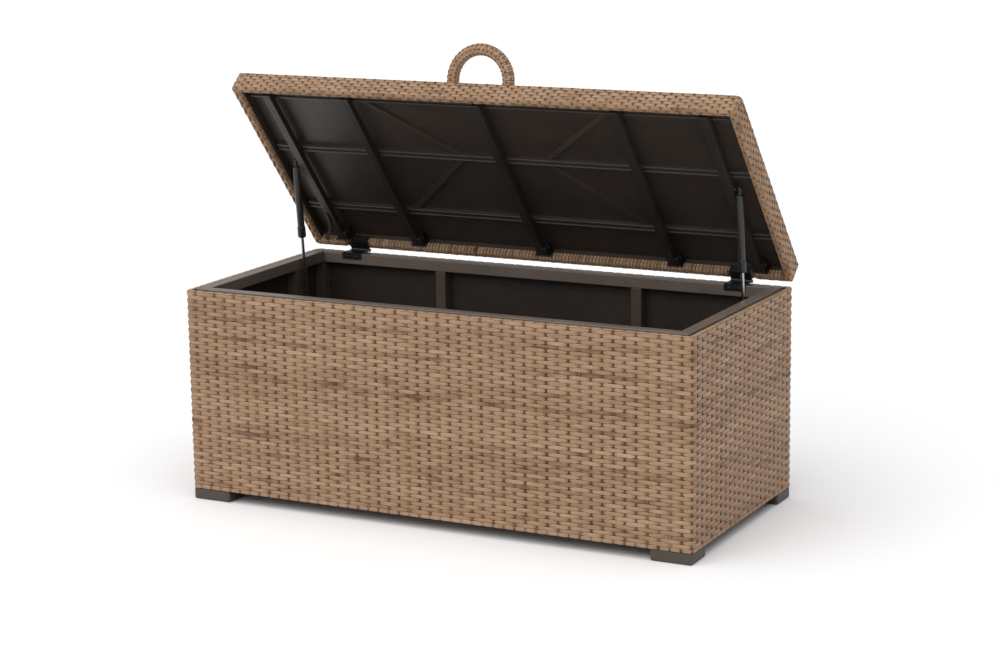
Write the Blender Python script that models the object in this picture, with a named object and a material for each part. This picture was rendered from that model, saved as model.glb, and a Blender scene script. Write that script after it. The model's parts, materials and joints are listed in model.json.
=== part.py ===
"""Wicker storage coffee table: an open box on four feet, with a tray-shaped lid that
stands open on two hinges and two gas struts. Metres, +Z up, the front faces -Y."""

import math

import bmesh
import bpy
from mathutils import Matrix, Vector

GAP = 0.0003

# Box, measured from its own centre line
LENGTH = 1.200
DEPTH = 0.560
BOX_Y = -0.01567
WICKER_T = 0.014
WICKER_BOTTOM = 0.026
WICKER_TOP = 0.471
LINER_T = 0.003
LINER_TOP = 0.459
TUBE = 0.025
RIM_X = 0.582
RIM_Y = 0.262
RIM_TOP = 0.473
FRAME_BOTTOM = 0.030
FLOOR_T = 0.004
FOOT_X = 0.092
FOOT_Y = 0.074
FOOT_INSET = 0.003
FOOT_H = 0.0257
REAR_POST_X = 0.246
STRUT_POST_W = 0.050

# Lid, measured from the hinge axis with the lid closed: v runs forward, n runs up
OPEN_ANGLE = math.radians(50.0)
HINGE_Y = 0.2795
HINGE_Z = 0.4755
LID_LENGTH = 1.204
LID_DEPTH = 0.540
LID_V = 0.0045
LID_N = 0.0025
LID_H = 0.045
LID_WALL = 0.020
LID_TOP_T = 0.012
LID_LINER_T = 0.006
RIB_X = (-0.522, -0.322, 0.0, 0.322, 0.522)
RIB_V = (0.030, 0.516)
RIB_W = 0.019
RIB_H = 0.015
RAIL_V = (0.502, 0.327, 0.130)
RAIL_HALF = 0.577
RAIL_W = 0.018
RAIL_H = 0.010
BRACE_W = 0.012
BRACE_H = 0.006
BRACE_NEAR = 0.108
BRACE_FAR = 0.290
BRACKET_W = 0.009
BRACKET_V = (0.030, 0.080)

# Hinges
HINGE_X = 0.480
HINGE_W = 0.050
KNUCKLE_R = 0.0040
PIN_R = 0.0018
PIN_GAP = 0.00008
LEAF_T = 0.002
LEAF_DROP = 0.013
LEAF_RISE = 0.018

# Gas struts
STRUT_X = 0.5435
STRUT_TOP_V = 0.290
STRUT_TOP_N = 0.013
STRUT_FOOT_Y = 0.137
STRUT_FOOT_Z = 0.368
STRUT_R = 0.0080
STRUT_CAP_R = 0.0085
STRUT_CAP = 0.020
STRUT_END = 0.1785
ROD_R = 0.0036
ROD_LENGTH = 0.1745
SOCKET_R = 0.0062
STUD_R = 0.0042

# Handle
HANDLE_TUBE_R = 0.014
HANDLE_R = 0.0665
HANDLE_LEG = 0.019
HANDLE_V = 0.521
HANDLE_LEAN = math.radians(45.0)


def clear_scene():
    for obj in list(bpy.data.objects):
        bpy.data.objects.remove(obj, do_unlink=True)


def material(name, colour, roughness, metallic=0.0):
    mat = bpy.data.materials.new(name)
    mat.use_nodes = True
    shader = mat.node_tree.nodes["Principled BSDF"]
    shader.inputs["Base Color"].default_value = (*colour, 1.0)
    shader.inputs["Roughness"].default_value = roughness
    shader.inputs["Metallic"].default_value = metallic
    return mat


WICKER = ((0.29, 0.185, 0.12), 0.55)
LINER = ((0.028, 0.021, 0.017), 0.45)
FRAME = ((0.075, 0.060, 0.050), 0.42)
LID_FRAME = ((0.060, 0.045, 0.036), 0.40)
BLACK = ((0.012, 0.012, 0.013), 0.38)
FOOT = ((0.095, 0.065, 0.045), 0.50)
STEEL = ((0.42, 0.41, 0.40), 0.28, 1.0)


def finish(name, mesh, look, parent, smooth=False):
    """Makes the node, with its own material, from a bmesh in its parent's axes."""
    bmesh.ops.recalc_face_normals(mesh, faces=mesh.faces)
    data = bpy.data.meshes.new(name)
    mesh.to_mesh(data)
    mesh.free()
    data.materials.append(material(name + "_material", *look))
    if smooth:
        data.shade_smooth()
        data.set_sharp_from_angle(angle=math.radians(35))
    obj = bpy.data.objects.new(name, data)
    bpy.context.scene.collection.objects.link(obj)
    obj.parent = parent
    return obj


def empty(name, location, angle=0.0, parent=None):
    obj = bpy.data.objects.new(name, None)
    obj.location = location
    obj.rotation_euler = (angle, 0.0, 0.0)
    obj.parent = parent
    bpy.context.scene.collection.objects.link(obj)
    return obj


def prism_mesh(outline, axis, low, high):
    """An outline extruded along X, Y or Z; its two values are the other axes in order."""
    mesh = bmesh.new()
    rings = []
    for level in (low, high):
        ring = []
        for a, b in outline:
            point = {"x": (level, a, b), "y": (a, level, b), "z": (a, b, level)}[axis]
            ring.append(mesh.verts.new(point))
        rings.append(ring)
    count = len(outline)
    mesh.faces.new(rings[0])
    mesh.faces.new(rings[1][::-1])
    for i in range(count):
        j = (i + 1) % count
        mesh.faces.new((rings[0][i], rings[1][i], rings[1][j], rings[0][j]))
    bmesh.ops.recalc_face_normals(mesh, faces=mesh.faces)
    return mesh


def box_mesh(x, y, z):
    outline = [(x[0], y[0]), (x[1], y[0]), (x[1], y[1]), (x[0], y[1])]
    return prism_mesh(outline, "z", *z)


def box(name, x, y, z, look, parent, bevel=0.0):
    obj = finish(name, box_mesh(x, y, z), look, parent)
    if bevel:
        add_bevel(obj, bevel)
    return obj


def add_bevel(obj, width, segments=2):
    bevel = obj.modifiers.new("edge", "BEVEL")
    bevel.width = width
    bevel.segments = segments
    bevel.limit_method = "ANGLE"


def circle(radius, segments, centre=(0.0, 0.0)):
    points = []
    for i in range(segments):
        turn = 2 * math.pi * (i + 0.5) / segments
        points.append((centre[0] + radius * math.cos(turn), centre[1] + radius * math.sin(turn)))
    return points


def helper(name, mesh, parent):
    """A cutter or a piece to be joined: it isn't rendered, so it is no node."""
    data = bpy.data.meshes.new(name)
    mesh.to_mesh(data)
    mesh.free()
    obj = bpy.data.objects.new(name, data)
    bpy.context.scene.collection.objects.link(obj)
    obj.parent = parent
    obj.hide_render = True
    obj.display_type = "WIRE"
    return obj


def combine(obj, mesh, operation, tag):
    other = helper(obj.name + "_" + tag, mesh, obj.parent)
    boolean = obj.modifiers.new(tag, "BOOLEAN")
    boolean.object = other
    boolean.operation = operation
    boolean.solver = "EXACT"


def lathe_mesh(profile, segments):
    """A closed solid turned about Z from (radius, z) pairs; radius 0 is a pole."""
    mesh = bmesh.new()
    rings = []
    for radius, z in profile:
        if radius == 0.0:
            rings.append([mesh.verts.new((0.0, 0.0, z))])
        else:
            rings.append([mesh.verts.new((x, y, z)) for x, y in circle(radius, segments)])
    for lower, upper in zip(rings, rings[1:]):
        for i in range(segments):
            j = (i + 1) % segments
            if len(lower) == 1:
                mesh.faces.new((lower[0], upper[i], upper[j]))
            elif len(upper) == 1:
                mesh.faces.new((lower[i], upper[0], lower[j]))
            else:
                mesh.faces.new((lower[i], upper[i], upper[j], lower[j]))
    return mesh


def strip(side, near, far):
    """The span from near to far on the left (-1) or right (+1) of the centre line."""
    return tuple(sorted((side * near, side * far)))


def make_feet(base):
    half_x = LENGTH / 2 - FOOT_INSET
    half_y = DEPTH / 2 - FOOT_INSET
    for x_name, sx in (("left", -1), ("right", 1)):
        for y_name, sy in (("front", -1), ("rear", 1)):
            name = "foot_" + y_name + "_" + x_name
            x = strip(sx, half_x - FOOT_X, half_x)
            y = strip(sy, half_y - FOOT_Y, half_y)
            box(name, x, y, (0.0, FOOT_H), FOOT, base, bevel=0.004)


def make_wicker_walls(base):
    z = (WICKER_BOTTOM, WICKER_TOP)
    half_x = LENGTH / 2
    half_y = DEPTH / 2
    inner_y = half_y - WICKER_T
    for name, side in (("front", -1), ("rear", 1)):
        y = strip(side, inner_y, half_y)
        box("wicker_" + name, (-half_x, half_x), y, z, WICKER, base, bevel=0.005)
    span = (-inner_y + GAP, inner_y - GAP)
    for name, side in (("left", -1), ("right", 1)):
        x = strip(side, half_x - WICKER_T, half_x)
        box("wicker_" + name, x, span, z, WICKER, base)


def make_liner(base):
    z = (FRAME_BOTTOM, LINER_TOP)
    out_x = LENGTH / 2 - WICKER_T - GAP
    out_y = DEPTH / 2 - WICKER_T - GAP
    in_y = out_y - LINER_T
    for name, side in (("front", -1), ("rear", 1)):
        y = strip(side, in_y, out_y)
        box("liner_" + name, (-out_x, out_x), y, z, LINER, base)
    for name, side in (("left", -1), ("right", 1)):
        x = strip(side, out_x - LINER_T, out_x)
        box("liner_" + name, x, (-in_y + GAP, in_y - GAP), z, LINER, base)


def mitred(name, along_x, side, z, look, parent):
    """One side of a rectangular ring of tube, cut at 45 degrees at both ends."""
    long_half = (RIM_X if along_x else RIM_Y) - GAP
    across = RIM_Y if along_x else RIM_X
    outline = [
        (-long_half, side * across),
        (long_half, side * across),
        (long_half - TUBE, side * (across - TUBE)),
        (-long_half + TUBE, side * (across - TUBE)),
    ]
    if not along_x:
        outline = [(b, a) for a, b in outline]
    obj = finish(name, prism_mesh(outline, "z", *z), look, parent)
    add_bevel(obj, 0.0015)


def make_frame(base):
    top = (RIM_TOP - TUBE, RIM_TOP)
    bottom = (FRAME_BOTTOM, FRAME_BOTTOM + TUBE)
    post = (bottom[1] + GAP, top[0] - GAP)
    for name, along_x, side in (
        ("front", True, -1),
        ("rear", True, 1),
        ("left", False, -1),
        ("right", False, 1),
    ):
        mitred("rim_" + name, along_x, side, top, FRAME, base)
        mitred("sill_" + name, along_x, side, bottom, FRAME, base)
    for x_name, sx in (("left", -1), ("right", 1)):
        x = strip(sx, RIM_X - TUBE, RIM_X)
        for y_name, sy in (("front", -1), ("rear", 1)):
            y = strip(sy, RIM_Y - TUBE, RIM_Y)
            name = "post_" + y_name + "_" + x_name
            box(name, x, y, post, FRAME, base, bevel=0.001)
        centre = sx * REAR_POST_X
        wide = (centre - TUBE / 2, centre + TUBE / 2)
        y = (RIM_Y - TUBE, RIM_Y)
        box("post_rear_mid_" + x_name, wide, y, post, FRAME, base, bevel=0.001)
        y = (STRUT_FOOT_Y - STRUT_POST_W / 2, STRUT_FOOT_Y + STRUT_POST_W / 2)
        box("post_strut_" + x_name, x, y, post, FRAME, base, bevel=0.001)


def make_floor(base):
    low = FRAME_BOTTOM + TUBE + GAP
    half_x = RIM_X - TUBE - GAP
    half_y = RIM_Y - TUBE - GAP
    z = (low - FLOOR_T - GAP, low - GAP)
    box("floor_panel", (-half_x, half_x), (-half_y, half_y), z, LINER, base)


def lid_v(low, high):
    return (-high, -low)


def make_lid_wicker(lid):
    half = LID_LENGTH / 2
    back = LID_V
    front = LID_V + LID_DEPTH
    top = LID_N + LID_H
    ceiling = top - LID_TOP_T
    z = (LID_N, ceiling - GAP)
    spans = (("rear", back, back + LID_WALL), ("front", front - LID_WALL, front))
    box("lid_top", (-half, half), lid_v(back, front), (ceiling, top), WICKER, lid, bevel=0.004)
    for name, low, high in spans:
        box("lid_side_" + name, (-half, half), lid_v(low, high), z, WICKER, lid)
    between = lid_v(back + LID_WALL + GAP, front - LID_WALL - GAP)
    for name, side in (("left", -1), ("right", 1)):
        x = strip(side, half - LID_WALL, half)
        box("lid_side_" + name, x, between, z, WICKER, lid)


def lid_levels():
    """The heights of the liner, the rails under it and the ribs under those."""
    ceiling = LID_N + LID_H - LID_TOP_T - GAP
    liner = (ceiling - LID_LINER_T, ceiling)
    rail = (liner[0] - GAP - RAIL_H, liner[0] - GAP)
    rib = (rail[0] - GAP - RIB_H, rail[0] - GAP)
    return liner, rail, rib


def make_lid_liner(lid):
    half = LID_LENGTH / 2 - LID_WALL - GAP
    v = lid_v(LID_V + LID_WALL + GAP, LID_V + LID_DEPTH - LID_WALL - GAP)
    box("lid_liner", (-half, half), v, lid_levels()[0], LINER, lid)


def make_lid_rails(lid):
    z = lid_levels()[1]
    for name, v in zip(("front", "middle", "rear"), RAIL_V):
        span = lid_v(v - RAIL_W / 2, v + RAIL_W / 2)
        box("lid_rail_" + name, (-RAIL_HALF, RAIL_HALF), span, z, LID_FRAME, lid, bevel=0.0015)


def make_brace(name, lid, start, end):
    """A flat bar between two rails, its ends cut parallel to them; start and end are (x, v)."""
    liner = lid_levels()[0]
    z = (liner[0] - GAP - BRACE_H, liner[0] - GAP)
    run = Vector(end) - Vector(start)
    half = BRACE_W / 2 * run.length / abs(run.y)
    outline = []
    for (x, v), way in ((start, 1), (end, -1)):
        outline.append((x - way * half, -v))
        outline.append((x + way * half, -v))
    finish(name, prism_mesh(outline, "z", *z), LID_FRAME, lid)


def make_braces(lid):
    edge = RAIL_W / 2 + GAP
    for x_name, side in (("left", -1), ("right", 1)):
        far = (side * BRACE_FAR, RAIL_V[0] - edge)
        near = (side * BRACE_NEAR, RAIL_V[1] + edge)
        make_brace("lid_brace_front_" + x_name, lid, far, near)
        near = (side * BRACE_NEAR, RAIL_V[1] - edge)
        far = (side * BRACE_FAR, RAIL_V[2] + edge)
        make_brace("lid_brace_rear_" + x_name, lid, near, far)


def make_ribs(lid):
    z = lid_levels()[2]
    for number, x in enumerate(RIB_X, 1):
        rib = finish(
            "lid_rib_" + str(number),
            box_mesh((x - RIB_W / 2, x + RIB_W / 2), lid_v(*RIB_V), z),
            LID_FRAME,
            lid,
        )
        if number in (1, len(RIB_X)):
            add_strut_stud(rib, x)
        add_bevel(rib, 0.001)


def add_strut_stud(rib, x):
    """The short ball stud that carries the top of a gas strut, joined to the rib's outer side."""
    side = math.copysign(1.0, x)
    root = abs(x) + RIB_W / 2 - 0.004
    tip = STRUT_X - SOCKET_R - GAP
    centre = (-STRUT_TOP_V, STRUT_TOP_N)
    low, high = strip(side, root, tip)
    combine(rib, prism_mesh(circle(STUD_R, 16, centre), "x", low, high), "UNION", "stud")


def make_brackets(lid):
    """The small black angles that tie the middle ribs to the back of the lid."""
    low = lid_levels()[2][0]
    high = lid_levels()[0][0] - GAP
    for number in (2, 3, 4):
        x = RIB_X[number - 1] + RIB_W / 2 + GAP
        span = (x, x + BRACKET_W)
        name = "lid_bracket_" + str(number)
        box(name, span, lid_v(*BRACKET_V), (low, high), BLACK, lid, bevel=0.001)


def knuckle_mesh(x, centre):
    return prism_mesh(circle(KNUCKLE_R, 24, centre), "x", *x)


def make_hinge(name, x, base, lid):
    """A butt hinge: the base leaf ends in two knuckles and the pin, the lid leaf in one."""
    low = x - HINGE_W / 2
    high = x + HINGE_W / 2
    third = HINGE_W / 3
    axis = (HINGE_Y, HINGE_Z)
    inner = RIM_Y - TUBE - GAP
    seat = RIM_TOP + GAP
    outline = [
        (axis[0] - KNUCKLE_R * 0.75, seat),
        (axis[0] - KNUCKLE_R * 0.75, seat + LEAF_T),
        (inner - LEAF_T, seat + LEAF_T),
        (inner - LEAF_T, seat - LEAF_DROP),
        (inner, seat - LEAF_DROP),
        (inner, seat),
    ]
    leaf = finish("hinge_base_leaf_" + name, prism_mesh(outline, "x", low, high), BLACK, base)
    notch = (low + third - GAP, high - third + GAP)
    y = (axis[0] - KNUCKLE_R - GAP, axis[0] + KNUCKLE_R)
    combine(leaf, knuckle_mesh((low, low + third - GAP), axis), "UNION", "knuckle_a")
    combine(leaf, knuckle_mesh((high - third + GAP, high), axis), "UNION", "knuckle_b")
    combine(leaf, box_mesh(notch, y, (seat - LEAF_T, axis[1] + KNUCKLE_R)), "DIFFERENCE", "notch")
    combine(leaf, prism_mesh(circle(PIN_R, 24, axis), "x", low + GAP, high - GAP), "UNION", "pin")

    start = KNUCKLE_R * 0.75
    wall = LID_V + LID_WALL + GAP
    under = LID_N - GAP
    outline = [
        (-start, under - LEAF_T),
        (-start, under),
        (-wall, under),
        (-wall, under + LEAF_RISE),
        (-wall - LEAF_T, under + LEAF_RISE),
        (-wall - LEAF_T, under - LEAF_T),
    ]
    leaf = finish("hinge_lid_leaf_" + name, prism_mesh(outline, "x", low, high), BLACK, lid)
    origin = (0.0, 0.0)
    middle = (low + third, high - third)
    y = (-KNUCKLE_R - GAP, KNUCKLE_R)
    z = (-KNUCKLE_R, under + LEAF_T)
    combine(leaf, knuckle_mesh(middle, origin), "UNION", "knuckle")
    combine(leaf, box_mesh((low - LEAF_T, low + third), y, z), "DIFFERENCE", "notch_a")
    combine(leaf, box_mesh((high - third, high + LEAF_T), y, z), "DIFFERENCE", "notch_b")
    bore = circle(PIN_R + PIN_GAP, 24, origin)
    combine(leaf, prism_mesh(bore, "x", low, high), "DIFFERENCE", "bore")


def strut_top():
    """Where the strut's upper ball sits, in the box's own axes with the lid open."""
    turned = Matrix.Rotation(-OPEN_ANGLE, 3, "X") @ Vector((0, -STRUT_TOP_V, STRUT_TOP_N))
    return Vector((0, HINGE_Y, HINGE_Z)) + turned


def make_strut(name, side, base):
    top = strut_top()
    run = Vector((0, STRUT_FOOT_Y, STRUT_FOOT_Z)) - top
    tilt = math.atan2(-run.y, run.z)
    location = (side * STRUT_X, top.y, top.z)
    pivot = empty("strut_pivot_" + name, location, tilt, base)
    bore = ROD_R + GAP
    profile = [
        (0.0, -SOCKET_R),
        (SOCKET_R * 0.7, -SOCKET_R * 0.7),
        (SOCKET_R, 0.0),
        (SOCKET_R * 0.7, SOCKET_R * 0.8),
        (SOCKET_R * 0.62, 0.011),
        (STRUT_R * 0.9, 0.013),
        (STRUT_R, 0.015),
        (STRUT_R, STRUT_END - STRUT_CAP),
        (STRUT_CAP_R, STRUT_END - STRUT_CAP + 0.0006),
        (STRUT_CAP_R, STRUT_END - 0.001),
        (STRUT_CAP_R - 0.001, STRUT_END),
        (bore, STRUT_END),
        (bore, 0.0155),
        (0.0, 0.0155),
    ]
    finish("strut_cylinder_" + name, lathe_mesh(profile, 24), BLACK, pivot, smooth=True)
    foot = run.length
    profile = [
        (0.0, foot - ROD_LENGTH),
        (ROD_R, foot - ROD_LENGTH),
        (ROD_R, foot - SOCKET_R - 0.004),
        (SOCKET_R * 0.75, foot - SOCKET_R - 0.0035),
        (SOCKET_R * 0.75, foot - SOCKET_R * 0.7),
        (SOCKET_R, foot),
        (SOCKET_R * 0.7, foot + SOCKET_R * 0.7),
        (0.0, foot + SOCKET_R),
    ]
    rod = finish("strut_rod_" + name, lathe_mesh(profile, 24), STEEL, pivot, smooth=True)
    outer = RIM_X - TUBE - 0.0008 - STRUT_X
    low, high = strip(side, 0.003, outer)
    stud = prism_mesh(circle(STUD_R, 16, (0.0, foot)), "x", low, high)
    combine(rod, stud, "UNION", "foot_stud")


def handle_path():
    """Centre line of the arch in its own plane: legs below, a half circle above."""
    points = [(-HANDLE_R, -HANDLE_LEG * 2.2)]
    steps = 24
    for i in range(steps + 1):
        turn = math.pi * (1 - i / steps)
        points.append((HANDLE_R * math.cos(turn), HANDLE_R * math.sin(turn)))
    points.append((HANDLE_R, -HANDLE_LEG * 2.2))
    return points


def make_handle(lid):
    """A round arch that leans forward, its legs cut flush with the lid's top."""
    mesh = bmesh.new()
    path = handle_path()
    rings = []
    for i, point in enumerate(path):
        before = path[max(i - 1, 0)]
        after = path[min(i + 1, len(path) - 1)]
        along = Vector((after[0] - before[0], after[1] - before[1])).normalized()
        across = Vector((along.y, -along.x))
        ring = []
        for a, b in circle(HANDLE_TUBE_R, 20):
            ring.append(mesh.verts.new((point[0] + across.x * a, b, point[1] + across.y * a)))
        rings.append(ring)
    for lower, upper in zip(rings, rings[1:]):
        for i in range(20):
            j = (i + 1) % 20
            mesh.faces.new((lower[i], upper[i], upper[j], lower[j]))
    mesh.faces.new(rings[0])
    mesh.faces.new(rings[-1])
    top = LID_N + LID_H
    rise = HANDLE_LEG
    seat = Vector((0.0, -HANDLE_V, top))
    lift = Vector((0.0, -math.sin(HANDLE_LEAN), math.cos(HANDLE_LEAN))) * rise
    placed = Matrix.Translation(seat + lift) @ Matrix.Rotation(HANDLE_LEAN, 4, "X")
    bmesh.ops.transform(mesh, matrix=placed, verts=mesh.verts)
    cut = bmesh.ops.bisect_plane(
        mesh,
        geom=mesh.verts[:] + mesh.edges[:] + mesh.faces[:],
        plane_co=(0.0, 0.0, top + GAP),
        plane_no=(0.0, 0.0, 1.0),
        clear_inner=True,
    )
    edges = [item for item in cut["geom_cut"] if isinstance(item, bmesh.types.BMEdge)]
    bmesh.ops.holes_fill(mesh, edges=edges)
    finish("handle", mesh, WICKER, lid, smooth=True)


def build():
    clear_scene()
    base = empty("box_centre", (0.0, BOX_Y, 0.0))
    lid = empty("lid_pivot", (0.0, HINGE_Y, HINGE_Z), -OPEN_ANGLE, base)
    make_feet(base)
    make_wicker_walls(base)
    make_liner(base)
    make_frame(base)
    make_floor(base)
    make_lid_wicker(lid)
    make_lid_liner(lid)
    make_lid_rails(lid)
    make_braces(lid)
    make_ribs(lid)
    make_brackets(lid)
    make_handle(lid)
    for name, side in (("left", -1), ("right", 1)):
        make_hinge(name, side * HINGE_X, base, lid)
        make_strut(name, side, base)


build()
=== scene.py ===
import json
import math

import bmesh
import bpy
import numpy as np
from mathutils import Matrix, Vector


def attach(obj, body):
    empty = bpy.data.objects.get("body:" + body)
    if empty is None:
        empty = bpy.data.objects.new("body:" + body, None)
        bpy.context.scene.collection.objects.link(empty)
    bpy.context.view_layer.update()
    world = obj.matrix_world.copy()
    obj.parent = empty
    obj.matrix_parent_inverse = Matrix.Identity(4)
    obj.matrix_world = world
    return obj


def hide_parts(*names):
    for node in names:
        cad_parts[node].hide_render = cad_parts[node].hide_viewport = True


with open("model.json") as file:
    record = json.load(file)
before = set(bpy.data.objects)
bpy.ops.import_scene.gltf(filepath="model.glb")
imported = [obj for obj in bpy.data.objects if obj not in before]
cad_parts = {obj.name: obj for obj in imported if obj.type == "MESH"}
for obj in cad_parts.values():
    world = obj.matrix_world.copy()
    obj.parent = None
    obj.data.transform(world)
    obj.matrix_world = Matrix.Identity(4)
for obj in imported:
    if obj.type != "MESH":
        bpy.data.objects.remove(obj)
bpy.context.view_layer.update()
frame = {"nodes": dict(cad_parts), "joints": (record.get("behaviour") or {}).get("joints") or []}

# Lengths are in metres.

# Weave: each row is a flat strand, the weft, woven over and under stakes
STAKE_PITCH = 0.025
ROW_PITCH = 0.0084
WEFT_HALF = 0.0044
WEFT_THICK = 0.0013
WEFT_DEPTH = 0.0009  # of a strand's crown, under the surface
WEFT_BULGE = 0.0017  # the crown's height over the strand's low ends
WEFT_DIVE = 0.0024  # what it sinks further, behind a stake
WEFT_DIVE_WIDTH = 0.17  # in stakes
WEFT_PINCH = 0.12  # share of its width that a strand loses there
WEFT_SLANT = 0.0001
# Where a strand is sampled between two dives, in stakes
WEFT_STEPS = (0.0, 0.11, 0.23, 0.42, 0.70, 1.0, 1.30, 1.58, 1.77, 1.89)
STAKE_HALF = 0.0019
STAKE_THICK = 0.0011
STAKE_DEPTH = 0.0026
STAKE_WAVE = 0.0002
STAKE_TONE_WANDER = 0.04
WEAVE_INSET = 0.0002
# A strand's section, in half widths across and thicknesses up
SECTION = ((-0.99, 0.80), (-0.55, 1.0), (0.50, 1.0), (0.99, 0.62), (0.92, 0.0), (-0.92, 0.0))
# The quads over the points of a section that close a strand's end
SECTION_CAP = ((3, 2, 1, 0), (5, 4, 3, 0))

# How far hand work wanders from the even pattern
DEPTH_SPREAD = 0.00012
HALF_SPREAD = 0.02
SHIFT_SPREAD = 0.00015
ROLL_SPREAD = 0.05

# Tones, which the ramp of wicker colours turns from dark to pale
WEFT_TONE = 0.26
WRAP_TONE = 0.30
TONE_SPREAD = 0.05
TONE_WANDER = 0.055
WRAP_TONE_SPREAD = 0.10

# Box
BODY_CORNER = 0.012
BORDER_HALF = 0.0052
BORDER_SIDE_HALF = BORDER_HALF * 0.8
BORDER_THICK = 0.0014
BORDER_STEPS = 5  # points between two stakes
BORDER_NICK = 0.0008
BORDER_PINCH = 0.12
BORDER_TONE = 0.08
# Tone drop at each nick of a border strand: painted shade in the notch.
NICK_SHADE_TONE = -0.35
BORDER_INSETS = {"side": 0.0004, "foot": 0.0065, "top": 0.0062}
TOP_ROW_GAP = 0.0020
STAKE_FOOT_GAP = 0.002
STAKE_TOP_GAP = 0.003

# Lid
LID_CORNER = 0.012
LID_STAKE_PITCH = STAKE_PITCH / 2
LID_EDGE = 0.008
LID_END_DEPTH = 0.0028  # of the top's rows, where they meet the edge's first row
TOP_STAKE_PAST = 0.005
LIP_WIDTH = 0.020
LIP_DROP = 0.003  # how far the woven lip hangs under its CAD solid
LEAF_MARGIN = 0.012  # from a hinge leaf to where the lip starts to make room for it
LEAF_EASE = 0.008
LEAF_CLEARANCE = 0.0008
CORE_INSET = 0.0048
CORE_EDGE = 0.004  # each edge is rounded in two steps, the inner one CORE_EDGE_BEVEL deep
CORE_EDGE_BEVEL = 0.0012
CORE_CORNER = 0.008
CORE_WELL_CORNER = 0.003
CORE_WALL_GAP = 0.0014
CORE_LINER_LAP = 0.0003
WRAP_PITCH = STAKE_PITCH / 3
WRAP_HALF = 0.0037
WRAP_THICK = 0.0012
WRAP_SHAKE = 0.0002
WRAP_HALF_SPREAD = 0.03
WRAP_START = 0.0032  # past the inner end of the lip's flat
WRAP_SHORT_END = 0.002  # past the turn up the inner face
WRAP_TALL_END = 0.0095
WRAP_POINTS = 8

# Handle
HANDLE_TUBE = 0.014
HANDLE_CORE = HANDLE_TUBE - 0.0022
HANDLE_LEG = 0.036
HANDLE_LEAN = math.radians(45.0)
HANDLE_SIDE = np.array((0.0, 1.0, 0.0))
HANDLE_WRAP = 0.0052
HANDLE_WRAP_HALF = HANDLE_WRAP * 0.49
HANDLE_WRAP_SIDES = 16
HANDLE_WRAP_THICK = 0.0013
HANDLE_WRAP_LIFT = 0.0006
HANDLE_SKEW = 0.0004
HANDLE_TONE_SPREAD = 0.09
HANDLE_TONE_WANDER = 0.05
HANDLE_STAKES = (2.30, 3.10, 3.90, 5.60, 0.70)  # angles round the tube
HANDLE_STAKE_HALF = 0.0017
HANDLE_STAKE_THICK = 0.001
HANDLE_STAKE_LIFT = 0.0008
HANDLE_STAKE_WAVE = 0.0015
HANDLE_STAKE_TONE = -0.02
HANDLE_TUBE_GAP = 0.0004
HANDLE_TUBE_SIDES = 14
HANDLE_TUBE_RINGS = 40

# Metalwork
CHAMFER = 0.0012
RAIL_GROOVE = 0.0040
RAIL_GROOVE_TAPER = 0.0008
RAIL_DEEP = 0.0045
BRACKET_WIDE = 0.009
BRACKET_LAP = 0.022  # how far a bracket runs along its rib
BRACKET_FLANGE = 0.0032
BRACKET_RISE = 0.009
BRACKET_GAP = 0.0004
BRACKET_BACK = 0.004
BRACKET_DROP = 0.001
BRACKET_EARS = (0.004, 0.005)  # how far the flange stands out, left and right
BOLT_RADIUS = 0.0052
BOLT_BACK = 0.019
BOLT_UP = 0.012
HINGE_SCREW = 0.0036
HINGE_SCREW_EDGES = {"base": 0.0058, "lid": 0.0062}
COLLAR_RADIUS = 0.0095
COLLAR_BORE = 0.0046
COLLAR_LENGTH = 0.024
STRAP_HALF = 0.0035
STRAP_THICK = 0.0016
STRAP_TOP = (-0.005, 0.0, -0.0012)  # from the rib's middle, the rail and the rib's face
STRAP_FOOT = (-0.045, -0.001, 0.0045)  # from the rib's middle, the lip and the lid's bottom
STRAP_BOW = (0.010, 0.003, -0.001)
STRAP_POINTS = 14

# Camera, in the box's axes
CAMERA_SPOT = (2.45466, -4.70443, 1.52509)
CAMERA_YAW = math.radians(27.280)
CAMERA_PITCH = math.radians(12.274)
CAMERA_ROLL = math.radians(-0.788)
CAMERA_LENS = 89.72
CAMERA_SENSOR = 36.0

rng = np.random.default_rng(7)


# ---------------------------------------------------------------- places

def joint(name):
    """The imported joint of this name."""
    return next(j for j in frame["joints"] if j["name"] == name)


def extent(names, place):
    """Lowest and highest corner of the CAD nodes, in the axes of place."""
    back = place.inverted()
    points = [back @ v.co for n in names for v in frame["nodes"][n].data.vertices]
    points = np.array(points)
    return Vector(points.min(0)), Vector(points.max(0))


def base_place():
    """The box's axes: the world's, moved to the middle of the box's depth."""
    low, high = extent(WALLS, Matrix.Identity(4))
    return Matrix.Translation((0.0, (low.y + high.y) / 2, 0.0))


def lid_place():
    """The lid's axes: on the hinge's line, and level when the lid is shut."""
    hinge = joint("lid_hinge")
    turn = Matrix.Rotation(-math.radians(hinge["range_deg"][1]), 4, "X")
    return Matrix.Translation(hinge["pos_m"]) @ turn


WALLS = ["wicker_front", "wicker_rear", "wicker_left", "wicker_right"]
LID_SIDES = ["lid_side_front", "lid_side_rear", "lid_side_left", "lid_side_right"]
BASE = base_place()
LID = lid_place()
BOX_LOW, BOX_HIGH = extent(WALLS, BASE)
LID_LOW, LID_HIGH = extent(LID_SIDES + ["lid_top"], LID)
LID_BOTTOM = LID_LOW.z - LIP_DROP
LID_HALF_X = LID_HIGH.x
LID_HALF_Y = (LID_HIGH.y - LID_LOW.y) / 2
LID_PLACE = LID @ Matrix.Translation((0.0, (LID_LOW.y + LID_HIGH.y) / 2, 0.0))
LIP_BACK = LID_HIGH.y - LIP_WIDTH
LEAVES = [extent(["hinge_lid_leaf_" + side], LID) for side in ("left", "right")]


# ---------------------------------------------------------------- materials

def new_material(name):
    mat = bpy.data.materials.new(name)
    mat.use_nodes = True
    return mat, mat.node_tree.nodes, mat.node_tree.links


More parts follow.
